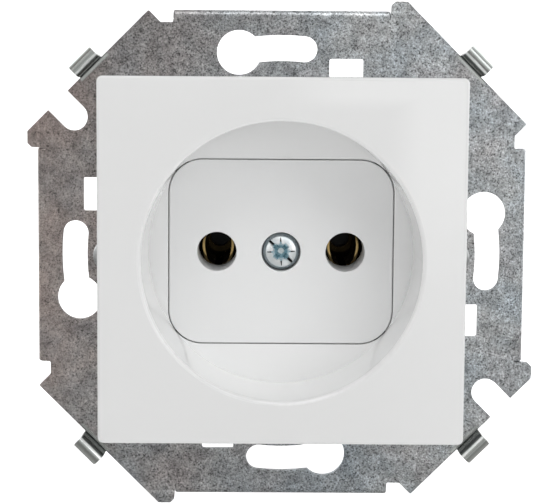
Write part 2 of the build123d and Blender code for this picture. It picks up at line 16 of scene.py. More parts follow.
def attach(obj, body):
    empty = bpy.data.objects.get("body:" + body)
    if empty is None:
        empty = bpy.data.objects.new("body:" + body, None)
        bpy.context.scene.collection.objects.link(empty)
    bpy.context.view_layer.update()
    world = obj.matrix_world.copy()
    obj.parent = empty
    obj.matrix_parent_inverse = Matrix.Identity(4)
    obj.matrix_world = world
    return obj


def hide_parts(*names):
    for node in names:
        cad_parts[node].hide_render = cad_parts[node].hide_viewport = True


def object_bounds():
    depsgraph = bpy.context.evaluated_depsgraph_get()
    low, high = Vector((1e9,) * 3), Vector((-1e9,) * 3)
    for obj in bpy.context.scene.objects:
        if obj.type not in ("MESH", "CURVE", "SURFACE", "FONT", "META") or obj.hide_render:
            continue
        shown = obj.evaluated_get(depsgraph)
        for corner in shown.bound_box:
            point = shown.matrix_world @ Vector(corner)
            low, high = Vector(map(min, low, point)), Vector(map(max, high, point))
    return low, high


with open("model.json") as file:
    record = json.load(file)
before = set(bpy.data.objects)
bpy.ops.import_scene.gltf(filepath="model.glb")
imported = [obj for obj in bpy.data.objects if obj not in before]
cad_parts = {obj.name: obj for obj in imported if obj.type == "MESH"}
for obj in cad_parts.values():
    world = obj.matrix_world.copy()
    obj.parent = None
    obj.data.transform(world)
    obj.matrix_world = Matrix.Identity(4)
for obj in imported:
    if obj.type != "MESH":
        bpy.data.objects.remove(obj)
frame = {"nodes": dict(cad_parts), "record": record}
cad_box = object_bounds()
random.seed(7)

MM = 0.001
CONTACT_X = 9.5             # mm from the axis to each contact and terminal screw
CLAW_X = 24.5               # mm from the axis to each claw screw

CAD_NODES = frame["nodes"]
SUBPARTS = frame["record"]["subparts"]
BODIES = frame["record"]["behaviour"]["bodies"]
SLOT_OF = {part["node"]: part["material_slot"] for part in SUBPARTS}


# --------------------------------------------------------------------------
# shader graphs
# --------------------------------------------------------------------------

def rgba(colour):
    """A grey level or an RGB triple as an opaque colour."""
    if isinstance(colour, (int, float)):
        return (colour, colour, colour, 1.0)
    return tuple(colour) + (1.0,)


class Graph:
    """The node tree of a material or world. Values may be sockets, numbers or colours."""

    def __init__(self, owner, end):
        owner.use_nodes = True
        self.owner = owner
        self.tree = owner.node_tree
        self.end = self.tree.nodes[end]

    def feed(self, socket, value):
        if isinstance(value, bpy.types.NodeSocket):
            self.tree.links.new(value, socket)
        else:
            socket.default_value = rgba(value) if socket.type == "RGBA" else value

    def put(self, inputs):
        """Feed the node at the end of the graph."""
        for key, value in inputs.items():
            self.feed(self.end.inputs[key], value)

    def make(self, kind, inputs=(), **settings):
        node = self.tree.nodes.new("ShaderNode" + kind)
        for key, value in settings.items():
            setattr(node, key, value)
        for key, value in dict(inputs).items():
            self.feed(node.inputs[key], value)
        return node

    def coords(self, kind="Object"):
        return self.make("TexCoord").outputs[kind]

    def split(self, vector):
        outputs = self.make("SeparateXYZ", {0: vector}).outputs
        return outputs["X"], outputs["Y"], outputs["Z"]

    def math(self, operation, *values, **settings):
        inputs = dict(enumerate(values))
        return self.make("Math", inputs, operation=operation, **settings).outputs[0]

    def times(self, first, second):
        return self.math("MULTIPLY", first, second)

    def size(self, value):
        return self.math("ABSOLUTE", value)

    def radius(self, x, z):
        vector = self.make("CombineXYZ", {0: x, 2: z}).outputs[0]
        return self.make("VectorMath", {0: vector}, operation="LENGTH").outputs["Value"]

    def fade(self, value, over=(0.0, 1.0), to=(0.0, 1.0), curve="LINEAR"):
        """Go from to[0] to to[1] while value crosses the range over."""
        inputs = {"Value": value, "From Min": over[0], "From Max": over[1],
                  "To Min": to[0], "To Max": to[1]}
        return self.make("MapRange", inputs, interpolation_type=curve).outputs["Result"]

    def noise(self, vector, scale, detail, roughness=0.5):
        inputs = {"Vector": vector, "Scale": scale, "Detail": detail, "Roughness": roughness}
        return self.make("TexNoise", inputs).outputs["Fac"]

    def scaled(self, vector, **inputs):
        node = self.make("Mapping", inputs)
        self.feed(node.inputs["Vector"], vector)
        return node.outputs["Vector"]

    def ramp(self, value, stops):
        """A colour ramp; stops are (position, grey or RGB)."""
        node = self.make("ValToRGB", {0: value})
        elements = node.color_ramp.elements
        for index, (position, colour) in enumerate((stops[0], stops[-1])):
            elements[index].position = position
            elements[index].color = rgba(colour)
        for position, colour in stops[1:-1]:
            elements.new(position).color = rgba(colour)
        return node.outputs["Color"]

    def mix(self, amount, first, second, blend="MIX"):
        inputs = {0: amount, 6: first, 7: second}
        return self.make("Mix", inputs, data_type="RGBA", blend_type=blend).outputs[2]

    def mix_values(self, amount, first, second):
        return self.make("Mix", {0: amount, 2: first, 3: second}, data_type="FLOAT").outputs[0]

    def bump(self, height, strength, distance):
        inputs = {"Height": height, "Strength": strength, "Distance": distance}
        return self.make("Bump", inputs).outputs["Normal"]


class Surface(Graph):
    """A new material that ends in a Principled shader."""

    def __init__(self, name):
        super().__init__(bpy.data.materials.new(name), "Principled BSDF")
        self.name = name

    @property
    def base(self):
        return self.end.inputs["Base Color"].links[0].from_socket

    def multiply_base(self, colour, amount=1.0):
        self.put({"Base Color": self.mix(amount, self.base, colour, blend="MULTIPLY")})


# --------------------------------------------------------------------------
# materials
# --------------------------------------------------------------------------

RISING = (0.0, 1.0)
FALLING = (1.0, 0.0)


def varied(colour, share):
    """The colour darkened and lightened by a share of itself."""
    dark = tuple(c * (1 - share) for c in colour)
    light = tuple(min(1, c * (1 + share)) for c in colour)
    return dark, light


def plastic(name, colour, rough, grain=0.0, colour_var=0.015, smudge=0.05):
    """Moulded plastic; grain is bump strength, smudge the unevenness of the gloss."""
    s = Surface(name)
    coords = s.coords()
    dark, light = varied(colour, colour_var)
    patches = s.noise(coords, scale=55.0, detail=3.0)
    smudges = s.noise(coords, scale=140.0, detail=5.0, roughness=0.6)
    s.put({
        "Base Color": s.ramp(patches, [(0.3, dark), (0.7, light)]),
        "Roughness": s.ramp(smudges, [(0.3, rough * (1 - smudge * 2)),
                                      (0.75, rough * (1 + smudge * 4))]),
        "IOR": 1.5,
    })
    if grain > 0:
        height = s.noise(coords, scale=2500.0, detail=2.0)
        s.put({"Normal": s.bump(height, strength=grain, distance=0.00005)})
    return s


def paint_joint_and_face_shade(s):
    """Painted shade: darken the narrow joint round the insert, and grey the outer face a touch
    against the recess.
    """
    joint_shade_level = 0.16
    x, y, z = s.split(s.coords())
    depth = s.times(s.fade(y, over=(0.00292, 0.00312)),
                    s.fade(y, over=(0.0041, 0.0043), to=FALLING))
    within = s.times(s.fade(s.size(x), over=(0.0156, 0.0157), to=FALLING),
                     s.fade(s.size(z), over=(0.0132, 0.0133), to=FALLING))
    off_centre = s.math("MAXIMUM",
                        s.fade(s.size(x), over=(0.0135, 0.0136)),
                        s.fade(s.size(z), over=(0.0050, 0.0051)))
    # painted shade in the joint round the insert
    joint = s.times(s.times(depth, within), off_centre)
    s.multiply_base((joint_shade_level, joint_shade_level, joint_shade_level * 0.97), amount=joint)
    # painted shade: the outer face a touch greyer than the recess
    face = s.fade(y, over=(-0.01088, -0.01078), to=FALLING)
    s.multiply_base((0.917, 0.917, 0.915), amount=face)
    return s


def painted_card_reflection(s, gain):
    """Painted reflection: lift the base colour where the view's reflection meets a large light card,
    above and right of the lens.
    """
    x, y, z = s.split(s.coords("Reflection"))
    forward = s.size(y)

    def slope(axis, over, to=RISING):
        """Fade over a range of the reflected ray's slope against Y."""
        return s.fade(s.math("DIVIDE", axis, forward), over=over, to=to, curve="SMOOTHSTEP")

    right = s.times(slope(x, over=(0.068, 0.090)), slope(z, over=(-0.17, -0.06)))
    top = s.times(slope(z, over=(-0.035, -0.024)), slope(x, over=(0.0, 0.05)))
    far_end = s.times(slope(x, over=(0.18, 0.40), to=FALLING),
                      slope(z, over=(0.10, 0.30), to=FALLING))
    card_reflection = s.times(s.math("MAXIMUM", right, top), far_end)
    card_reflection = s.times(card_reflection, s.math("LESS_THAN", y, -0.5))      # towards the front only
    s.multiply_base(s.math("MULTIPLY_ADD", card_reflection, gain, 1.0))
    return s


def galvanised(name):
    """Zinc-coated sheet: dark grain, soft patches, scratches and four polished corner clips, with
    painted light and shade on the sheet, the flange bends and the clips.
    """
    grey = 0.50
    rough = 0.36
    s = Surface(name)
    coords = s.coords()
    x, _, z = s.split(coords)

    # fine grain of the coating, weaker at the left
    grain = s.noise(coords, scale=4300.0, detail=2.5, roughness=0.7)
    grain_colour = s.ramp(grain, [(0.32, 0.05), (0.43, 0.74), (0.55, 1.06), (0.68, 1.62)])
    grain_amount = s.fade(x, over=(-0.036, -0.022), to=(0.55, 1.0))
    zinc = s.make("RGB").outputs[0]
    zinc.default_value = rgba((grey, grey * 1.005, grey * 1.012))
    s.put({"Base Color": zinc})
    s.multiply_base(s.mix(grain_amount, 0.93, grain_colour))

    # clusters of darker grain
    clusters = s.noise(coords, scale=420.0, detail=4.0, roughness=0.65)
    s.multiply_base(s.ramp(clusters, [(0.34, 0.70), (0.62, 1.14)]))

    # sparse dark specks
    specks = s.noise(coords, scale=1500.0, detail=1.5)
    s.multiply_base(s.ramp(specks, [(0.29, 0.42), (0.37, 1.0)]))

    # large soft patches
    patches = s.noise(coords, scale=70.0, detail=3.0, roughness=0.55)
    s.multiply_base(s.ramp(patches, [(0.30, (0.90, 0.93, 0.955)), (0.70, (1.06, 1.045, 1.03))]))

    # painted light: the tint goes from warm at the left to cool and brighter at the right, held back
    # from warm along the bottom
    across = s.math("MULTIPLY_ADD", x, 14.0, 0.5)
    bottom = s.fade(z, over=(-0.024, -0.012), to=(0.29, -0.2))
    painted_light_tint = s.math("MULTIPLY_ADD", patches, 0.5, s.math("MAXIMUM", across, bottom))
    s.multiply_base(s.ramp(painted_light_tint, [
        (0.28, (0.97, 0.845, 0.79)), (0.55, (0.90, 0.90, 0.895)),
        (0.78, (0.93, 0.975, 1.0)), (1.0, (1.10, 1.14, 1.155))]))

    # small shifts of hue
    hue = s.noise(coords, scale=110.0, detail=4.0, roughness=0.6)
    s.multiply_base(s.ramp(hue, [
        (0.36, (0.955, 0.995, 1.03)), (0.50, 1.0), (0.66, (1.045, 0.99, 0.98))]))

    # painted shade: the sheet darker towards the upper left
    upper_left = s.math("MULTIPLY_ADD", x, -0.75, z)
    s.multiply_base(s.fade(upper_left, over=(0.012, 0.050), to=(1.0, 0.74)))

    # painted highlight: a thin light line on the outermost part of each bent flange
    outward = s.math("MAXIMUM", s.size(x), s.size(z))
    flange = s.fade(outward, over=(0.0345, 0.0357))
    s.multiply_base(s.ramp(flange, [
        (0.0, 1.0), (0.30, 1.0), (0.42, 1.26), (0.72, 1.26), (0.80, 1.0)]))

    # pale hairline scratches in two directions: (turn about Y, squeeze across the scratch)
    for turn, squeeze in ((0.86, 3000.0), (-0.5, 1894.736842)):
        stretched = s.scaled(coords, Rotation=(0.0, turn, 0.0), Scale=(30.0, 30.0, squeeze))
        cells = s.make("TexVoronoi", {"Vector": stretched, "Scale": 0.35}, feature="F1")
        s.multiply_base(s.ramp(cells.outputs["Distance"], [(0.0, 1.7), (0.035, 1.0)]))

    # the corner clips lie on the diagonals, where the sheet is stretched smooth
    x_size = s.size(x)
    z_size = s.size(z)
    diagonal = s.math("ADD", x_size, z_size)
    off_diagonal = s.size(s.math("SUBTRACT", x_size, z_size))
    clip = s.fade(s.times(s.fade(diagonal, over=(0.05370, 0.05400)),
                          s.fade(off_diagonal, over=(0.0036, 0.0041), to=FALLING)))
    # painted light and shade along a clip: highlight on the fold, shade in the hollow of the bend,
    # highlight on the crest, the plain lip and a highlight at its outer end
    along = s.fade(diagonal, over=(0.0537, 0.0577))
    clip_light_and_shade = s.ramp(along, [
        (0.0, 1.25), (0.15, 1.30), (0.21, 0.22), (0.38, 0.26), (0.44, 2.1),
        (0.50, 2.0), (0.56, 0.95), (0.74, 1.0), (0.90, 1.75), (1.0, 1.55)])
    smooth = s.ramp(clusters, [(0.3, (0.44, 0.465, 0.45)), (0.7, (0.54, 0.565, 0.55))])
    clip_colour = s.mix(1.0, smooth, clip_light_and_shade, blend="MULTIPLY")
    sheet_rough = s.ramp(clusters, [(0.3, rough + 0.10), (0.7, rough - 0.04)])
    s.put({
        "Base Color": s.mix(clip, s.base, clip_colour),
        "Metallic": s.fade(clip, to=(0.82, 1.0)),
        "Roughness": s.mix_values(clip, sheet_rough, 0.20),
        "Normal": s.bump(grain, strength=s.fade(clip, to=(0.30, 0.04)), distance=0.00004),
    })
    return s


def metal(name, colour, rough, scale=(2500, 2500, 2500), bump=0.15, colour_var=0.12,
          light_colour=None, metallic=1.0):
    """Plain metal; scale sets the grain along each axis, light_colour tints its paler half."""
    s = Surface(name)
    coords = s.coords()
    grain = s.noise(s.scaled(coords, Scale=scale), scale=1.0, detail=5.0, roughness=0.6)
    dark, _ = varied(colour, colour_var)
    _, light = varied(light_colour or colour, colour_var)
    wear = s.noise(coords, scale=400.0, detail=4.0)
    s.put({
        "Base Color": s.ramp(grain, [(0.3, dark), (0.7, light)]),
        "Roughness": s.ramp(wear, [(0.3, rough * 0.8), (0.75, rough * 1.35)]),
        "Metallic": metallic,
        "Normal": s.bump(grain, strength=bump, distance=0.00003),
    })
    return s


def contact_brass(name):
    """Brass strip with painted light: bright at the front lips, brighter lower down and on each
    leaf's inner edge, with painted shade further in.
    """
    s = metal(name, colour=(0.78, 0.56, 0.24), rough=0.30, scale=(600, 3000, 600))
    x, y, z = s.split(s.coords())
    # painted shade: dark beyond the front lips, further into the holes
    lip_depth_shade = s.fade(y, over=(0.01126, 0.01156), to=(1.0, 0.030))
    # painted light: brighter towards the bottom of each contact, darker towards the top
    height = s.fade(z, over=(-0.0026, 0.0024), to=(1.6, 0.45))
    # painted highlight: only the inner edge of each leaf is bright
    from_contact = s.math("SUBTRACT", s.size(x), CONTACT_X * MM)
    inner_edge_highlight = s.fade(s.radius(from_contact, z), over=(0.00228, 0.00246), to=(1.0, 0.10))
    s.multiply_base(s.times(s.times(lip_depth_shade, height), inner_edge_highlight))
    return s


def plated_head_painted_recess(name):
    """Zinc plating: a bright head; painted shade darkens the driver recess to blue-grey, the slot to
    black and the head's outer edge to grey, with a painted highlight on the recess floor.
    """
    s = metal(name, colour=(0.86, 0.95, 0.985), rough=0.24, scale=(900, 900, 900), bump=0.75,
              colour_var=0.09, light_colour=(0.92, 0.985, 1.0), metallic=0.58)
    x, y, z = s.split(s.coords())
    depth = s.fade(y, over=(0.0031, 0.0047))
    # painted shade deeper in the driver recess, and a painted highlight on its floor
    recess = s.ramp(depth, [
        (0.0, 1), (0.23, (0.95, 0.99, 1.0)), (0.32, (0.50, 0.70, 0.77)),
        (0.70, (0.22, 0.38, 0.44)), (0.86, (0.26, 0.42, 0.47)), (0.90, (0.95, 1.0, 1.0))])
    # painted shade: the slot black below its mouth
    slot = s.ramp(depth, [
        (0.0, 1), (0.215, (0.97, 1.0, 1.0)), (0.26, (0.012, 0.018, 0.02)), (1.0, 0.01)])
    radius = s.radius(x, z)
    outside_recess = s.fade(radius, over=(0.00138, 0.00150))
    # painted shade on the outer edge of the head
    rim = s.fade(radius, over=(0.00226, 0.00236))
    head = s.mix(outside_recess, recess, slot)
    s.multiply_base(s.mix(rim, head, (0.46, 0.50, 0.52)))
    return s


def socket_surfaces():
    cover = plastic("cover_white", (0.955, 0.958, 0.956), rough=0.09,
                    colour_var=0.004, smudge=0.008)
    insert = plastic("insert_white", (0.905, 0.91, 0.91), rough=0.26, grain=0.03,
                     colour_var=0.003, smudge=0.006)
    return (
        plated_head_painted_recess("centre_zinc"),
        painted_card_reflection(paint_joint_and_face_shade(cover), gain=0.07),
        paint_joint_and_face_shade(insert),
        galvanised("yoke_zinc"),
        metal("screw_zinc", (0.72, 0.79, 0.83), rough=0.24, light_colour=(0.84, 0.88, 0.90)),
        contact_brass("contact_brass"),
        plastic("housing_dark", (0.055, 0.055, 0.058), rough=0.40, grain=0.25, colour_var=0.10),
        # a darker copy of the screw zinc: painted shade on the claw screw heads in their notches
        metal("claw_screw_zinc", (0.46, 0.475, 0.48), rough=0.34),
        metal("claw_zinc", (0.56, 0.565, 0.56), rough=0.34, colour_var=0.16, bump=0.25),
    )


MATERIALS = {surface.name: surface.owner for surface in socket_surfaces()}
for part in SUBPARTS:
    slots = CAD_NODES[part["node"]].data.materials
    slots.clear()
    slots.append(MATERIALS[part["material_slot"]])

# --------------------------------------------------------------------------
# small worn edges where the CAD solids are dead sharp
# --------------------------------------------------------------------------

WORN_EDGE = {               # bevel width, mm
    "yoke": 0.10,
    "claw_left": 0.08, "claw_right": 0.08,
    "base_housing": 0.22,
    "retainer_plate": 0.15,
    "claw_nut_left": 0.12, "claw_nut_right": 0.12,
    "contact_left": 0.05, "contact_right": 0.05,
    "terminal_clamp_left": 0.10, "terminal_clamp_right": 0.10,
}
for node, width in WORN_EDGE.items():
    bevel = CAD_NODES[node].modifiers.new("edge", "BEVEL")
    bevel.width = width * MM
    bevel.segments = 2
    bevel.limit_method = "ANGLE"
    bevel.angle_limit = math.radians(40)
    bevel.harden_normals = False


# --------------------------------------------------------------------------
# screw building, in mm
# --------------------------------------------------------------------------

Thread = namedtuple("Thread", "start end pitch depth")

X_AXIS = Vector((1, 0, 0))
BACKWARD = Vector((0, 1, 0))
UPWARD = Vector((0, 0, 1))


def link_mesh(name, mesh):
    ob = bpy.data.objects.new(name, mesh)
    bpy.context.scene.collection.objects.link(ob)
    return ob


def mesh_object(name, verts, faces):
    """A solid with merged points and outward normals."""
    mesh = bpy.data.meshes.new(name)
    mesh.from_pydata(verts, [], faces)
    bm = bmesh.new()
    bm.from_mesh(mesh)
    bmesh.ops.remove_doubles(bm, verts=bm.verts, dist=1e-8)
    bmesh.ops.recalc_face_normals(bm, faces=bm.faces)
    bm.to_mesh(mesh)
    bm.free()
    return link_mesh(name, mesh)


def place(origin, axis, u, v, along):
    """The point u along X, v square to X and the axis, and a distance along the axis."""
    offset = Vector(origin) + X_AXIS * u + axis.cross(X_AXIS) * v + axis * along
    return tuple(offset * MM)


def threaded_radius(radius, along, turn, thread):
    """The radius with the groove of the thread taken off; turn is 0 to 1 round the axis."""
    if not thread or not thread.start < along < thread.end:
        return radius
    phase = (along / thread.pitch - turn) % 1.0
    groove = min(1.0, max(0.0, (abs(2 * phase - 1) - 0.12) / 0.76))
    run_out = 0.8 * thread.pitch
    fade = min(1.0, (along - thread.start) / run_out, (thread.end - along) / run_out)
    return radius - thread.depth * groove * fade


def turned(name, origin, axis, profile, thread=None, sides=40):
    """A closed turned solid. Profile points are (radius, distance along the axis)."""
    steps_per_pitch = 8
    rings = []
    for (r0, s0), (r1, s1) in zip(profile, profile[1:]):
        if (thread and s0 >= thread.start - 1e-6 and s1 <= thread.end + 1e-6
                and s1 - s0 > thread.pitch):
            n = int(math.ceil((s1 - s0) / (thread.pitch / steps_per_pitch)))
            rings += [(r0 + (r1 - r0) * i / n, s0 + (s1 - s0) * i / n) for i in range(1, n)]
        rings.append((r1, s1))
    rings.pop()             # the last profile point lies on the axis

    verts = [place(origin, axis, 0, 0, profile[0][1])]
    for radius, along in rings:
        for j in range(sides):
            angle = 2 * math.pi * j / sides
            r = threaded_radius(radius, along, j / sides, thread)
            verts.append(place(origin, axis, r * math.cos(angle), r * math.sin(angle), along))
    verts.append(place(origin, axis, 0, 0, profile[-1][1]))

    faces = []
    last = len(verts) - 1
    last_ring = 1 + (len(rings) - 1) * sides
    for j in range(sides):
        k = (j + 1) % sides
        faces.append((0, 1 + k, 1 + j))
        for start in range(1, last_ring, sides):
            faces.append((start + j, start + k, start + sides + k, start + sides + j))
        faces.append((last, last_ring + j, last_ring + k))
    return mesh_object(name, verts, faces)


def cutter(origin, axis, outline, start, end, end_scale=1.0):
    """A prism on the outline at start, scaled by end_scale at end."""
    n = len(outline)
    verts = [place(origin, axis, u, v, start) for u, v in outline]
    verts += [place(origin, axis, u * end_scale, v * end_scale, end) for u, v in outline]
    faces = [tuple(range(n)), tuple(range(2 * n - 1, n - 1, -1))]
    for j in range(n):
        k = (j + 1) % n
        faces.append((j, j + n, k + n, k))
    return mesh_object("cutter", verts, faces)


def vee_cutter(section, half_length, degrees):
    """A bar across the screw axis Y. Section points are (across the bar, depth)."""
    n = len(section)
    verts = []
    for u in (-half_length, half_length):
        for v, depth in section:
            (across, other), = spun([(u, v)], degrees)
            verts.append(place((0, 0, 0), BACKWARD, across, other, depth))
    faces = [tuple(range(n)), tuple(range(2 * n - 1, n - 1, -1))]
    faces += [(i, (i + 1) % n, (i + 1) % n + n, i + n) for i in range(n)]
    return mesh_object("cutter", verts, faces)


def spun(outline, degrees):
    c = math.cos(math.radians(degrees))
    s = math.sin(math.radians(degrees))
    return [(u * c - v * s, u * s + v * c) for u, v in outline]


def bar(width, height):
    u = width / 2
    v = height / 2
    return [(-u, -v), (u, -v), (u, v), (-u, v)]


def plus(reach, half):
    """A cross with arms of the given reach and half width."""
    return [(reach, -half), (reach, half), (half, half), (half, reach),
            (-half, reach), (-half, half), (-reach, half), (-reach, -half),
            (-half, -half), (-half, -reach), (half, -reach), (half, -half)]


def circle(radius, sides=24):
    angles = [2 * math.pi * i / sides for i in range(sides)]
    return [(radius * math.cos(a), radius * math.sin(a)) for a in angles]


def carve(ob, cutters):
    for tool in cutters:
        cut = ob.modifiers.new("cut", "BOOLEAN")
        cut.operation = "DIFFERENCE"
        cut.solver = "EXACT"
        cut.object = tool
    bpy.context.view_layer.update()
    evaluated = ob.evaluated_get(bpy.context.evaluated_depsgraph_get())
    mesh = bpy.data.meshes.new_from_object(evaluated)
    ob.modifiers.clear()
    ob.data = mesh
    for tool in cutters:
        bpy.data.objects.remove(tool, do_unlink=True)


def finish_piece(ob, node, material, sharp_angle=32.0):
    """Shade the piece and put it in place of the CAD node."""
    mesh = ob.data
    mesh.materials.clear()
    mesh.materials.append(material)
    for face in mesh.polygons:
        face.use_smooth = True
        face.material_index = 0
    mesh.set_sharp_from_angle(angle=math.radians(sharp_angle))
    body = next(name for name, members in BODIES.items() if node in members)
    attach(ob, body)
    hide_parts(node)


# --------------------------------------------------------------------------
# screws; profiles are (radius, distance from the origin along the axis), mm
# --------------------------------------------------------------------------

def centre_screw():
    """Domed head with a cross recess, a bevelled slot through it and four marks between the arms."""
    origin = (0, 0, 0)
    slot_angle = 43.0
    cut_from = 3.00         # just in front of the head
    shank = 1.45
    head_back = 5.18
    shank_end = 21.40
    profile = [
        (0, 3.15), (0.9, 3.155), (1.5, 3.185), (1.95, 3.26), (2.20, 3.36), (2.32, 3.50),
        (2.48, 3.74), (2.66, 4.06), (2.77, 4.40), (2.80, 4.75), (2.78, 5.08),
        (2.68, head_back), (shank, head_back), (shank, shank_end), (0.9, 22.0), (0, 22.0)]
    screw = turned("centre_screw_detail", origin, BACKWARD, profile,
                   thread=Thread(head_back, shank_end, pitch=0.5, depth=0.26), sides=48)

    slot_mouth = [(-0.36, 3.02), (0.36, 3.02), (0.36, 3.14),
                  (0.16, 3.44), (-0.16, 3.44), (-0.36, 3.14)]
    mark = [(1.15, -0.15), (2.10, -0.05), (2.10, 0.05), (1.15, 0.15)]
    slot = spun(bar(7.0, 0.34), slot_angle)
    cross = spun(plus(reach=1.52, half=0.46), slot_angle)
    cutters = [
        vee_cutter(slot_mouth, half_length=3.5, degrees=slot_angle),
        cutter(origin, BACKWARD, slot, cut_from, 4.10),
        cutter(origin, BACKWARD, cross, cut_from, 4.35, end_scale=0.50),
        cutter(origin, BACKWARD, circle(1.32), cut_from, 4.00, end_scale=0.50),
        cutter(origin, BACKWARD, circle(0.46), cut_from, 4.55, end_scale=0.96),
    ]
    for turn in (45, 135, 225, 315):
        cutters.append(cutter(origin, BACKWARD, spun(mark, slot_angle + turn), 3.05, 3.62))
    carve(screw, cutters)
    finish_piece(screw, "centre_screw", MATERIALS["centre_zinc"], sharp_angle=25)


def retainer_screws():
    """Two plain-shanked screws behind the insert, above and below the axis, in one mesh."""
    profile = [
        (0, 7.10), (1.9, 7.10), (2.2, 7.2), (2.4, 7.45), (2.4, 8.1), (2.32, 8.2),
        (1.25, 8.2), (1.25, 14.6), (0.4, 15.8), (0, 15.8)]
    screws = []
    for z in (14.5, -14.5):
        origin = (0, 0, z)
        screw = turned("retainer_screw", origin, BACKWARD, profile, sides=28)
        carve(screw, [
            cutter(origin, BACKWARD, plus(reach=1.35, half=0.32), 7.0, 8.0, end_scale=0.35),
            cutter(origin, BACKWARD, circle(0.5, sides=12), 7.0, 8.0, end_scale=0.6)])
        screws.append(screw)
    bm = bmesh.new()
    for screw in screws:
        bm.from_mesh(screw.data)
    mesh = bpy.data.meshes.new("retainer_screws_detail")
    bm.to_mesh(mesh)
    bm.free()
    for screw in screws:
        bpy.data.objects.remove(screw, do_unlink=True)
    both = link_mesh("retainer_screws_detail", mesh)
    finish_piece(both, "retainer_screws", MATERIALS[SLOT_OF["retainer_screws"]])


def terminal_screw(side, sign):
    """Upright screw with its head down, turned from below."""
    node = "terminal_screw_" + side
    origin = (CONTACT_X * sign, 18.6, -16.3)
    cut_from = -0.1
    shank = 1.7
    head_top = 2.2
    shank_end = 6.40
    profile = [
        (0, 0.0), (2.5, 0.0), (2.8, 0.10), (3.0, 0.40), (3.0, 2.05), (2.9, head_top),
        (shank, head_top), (shank, shank_end), (1.2, 6.85), (0, 6.85)]
    screw = turned(node + "_detail", origin, UPWARD, profile,
                   thread=Thread(head_top, shank_end, pitch=0.6, depth=0.28), sides=36)
    cross = plus(reach=1.6, half=0.42)
    carve(screw, [cutter(origin, UPWARD, bar(8.0, 0.8), cut_from, 0.95),
                  cutter(origin, UPWARD, cross, cut_from, 1.5, end_scale=0.4)])
    finish_piece(screw, node, MATERIALS[SLOT_OF[node]])


def claw_screw(side, sign, slot_angle):
    """Pan head, plain neck in the sheet, then thread to the tip."""
    node = "claw_screw_" + side
    origin = (CLAW_X * sign, 0, 0)
    cut_from = -4.2
    shank = 1.7
    neck_end = 1.5
    shank_end = 29.2
    profile = [
        (0, -4.0), (1.6, -3.99), (2.15, -3.93), (2.5, -3.80), (2.68, -3.55), (2.73, -3.25),
        (2.73, -2.25), (2.60, -2.03), (shank, -2.03), (shank, neck_end), (shank, shank_end),
        (1.0, 29.9), (0, 29.9)]
    screw = turned(node + "_detail", origin, BACKWARD, profile,
                   thread=Thread(neck_end, shank_end, pitch=0.7, depth=0.32), sides=36)
    slot = spun(bar(7.0, 0.62), slot_angle)
    cross = spun(plus(reach=1.5, half=0.42), slot_angle)
    carve(screw, [cutter(origin, BACKWARD, slot, cut_from, -3.0),
                  cutter(origin, BACKWARD, cross, cut_from, -2.7, end_scale=0.4)])
    finish_piece(screw, node, MATERIALS["claw_screw_zinc"])


centre_screw()
retainer_screws()
for side, sign, claw_slot_angle in (("left", -1, -28.0), ("right", 1, 64.0)):
    terminal_screw(side, sign)
    claw_screw(side, sign, claw_slot_angle)

# --------------------------------------------------------------------------
# studio, in metres
# --------------------------------------------------------------------------

CARD_STRENGTH = 0.50        # light card seen in glossy reflections
FLOOR_GAP = 0.004           # below the lowest point of the socket
FLOOR_HALF_WIDTH = 2.2
FLOOR_FRONT = -1.6
SWEEP_START = 0.75          # Y where the floor starts to curve up
SWEEP_RADIUS = 0.35
SWEEP_STEPS = 12
BACKDROP_TOP = 2.2


def window_card(graph, direction, sign):
    """1 where a reflected ray, direction times sign, points above the lens or to its right."""
    x, y, z = graph.split(direction)
    forward = graph.size(y)
    parts = []
    for axis, edge in ((x, (0.077, 0.090)), (z, (-0.034, -0.022))):
        slope = graph.times(graph.math("DIVIDE", axis, forward), sign)
        near_edge = graph.fade(slope, over=edge, curve="SMOOTHSTEP")
        far_edge = graph.fade(slope, over=(0.16, 0.45), to=FALLING, curve="SMOOTHSTEP")
        parts.append(graph.times(near_edge, far_edge))
    blend_distance = 0.15
    card = graph.math("SMOOTH_MAX", parts[0], parts[1], blend_distance)
    # only rays that leave towards the camera's side
    to_front = graph.math("GREATER_THAN", graph.times(y, -sign), 0.5)
    return graph.math("MULTIPLY", card, to_front, use_clamp=True)


def floor_material():
    """Pale floor; its brightness depends on the kind of ray that meets it."""
    s = Surface("floor")
    rays = s.make("LightPath").outputs
    geometry = s.make("NewGeometry").outputs
    patches = s.noise(s.coords(), scale=3.0, detail=2.0)
    pale = s.ramp(patches, [(0.3, 0.90), (0.7, 0.92)])
    _, y, _ = s.split(geometry["Position"])
    behind = s.fade(y, over=(0.0, 0.30))
    in_front = s.math("SUBTRACT", 1.0, behind)
    # reflections see the front part darker
    dim = s.times(rays["Is Glossy Ray"], in_front)
    glow = s.math("MAXIMUM", s.times(rays["Is Camera Ray"], 0.80), s.times(behind, 0.40))
    glow = s.math("MAXIMUM", glow, s.times(rays["Is Diffuse Ray"], 0.19))
    card = s.times(window_card(s, geometry["Incoming"], -1.0), rays["Is Glossy Ray"])
    s.put({
        "Base Color": s.mix(dim, pale, (0.42, 0.41, 0.40)),
        "Roughness": 0.9,
        "Specular IOR Level": 0.1,
        "Emission Color": 1,
        "Emission Strength": s.math("MULTIPLY_ADD", card, CARD_STRENGTH, glow),
    })
    return s.owner


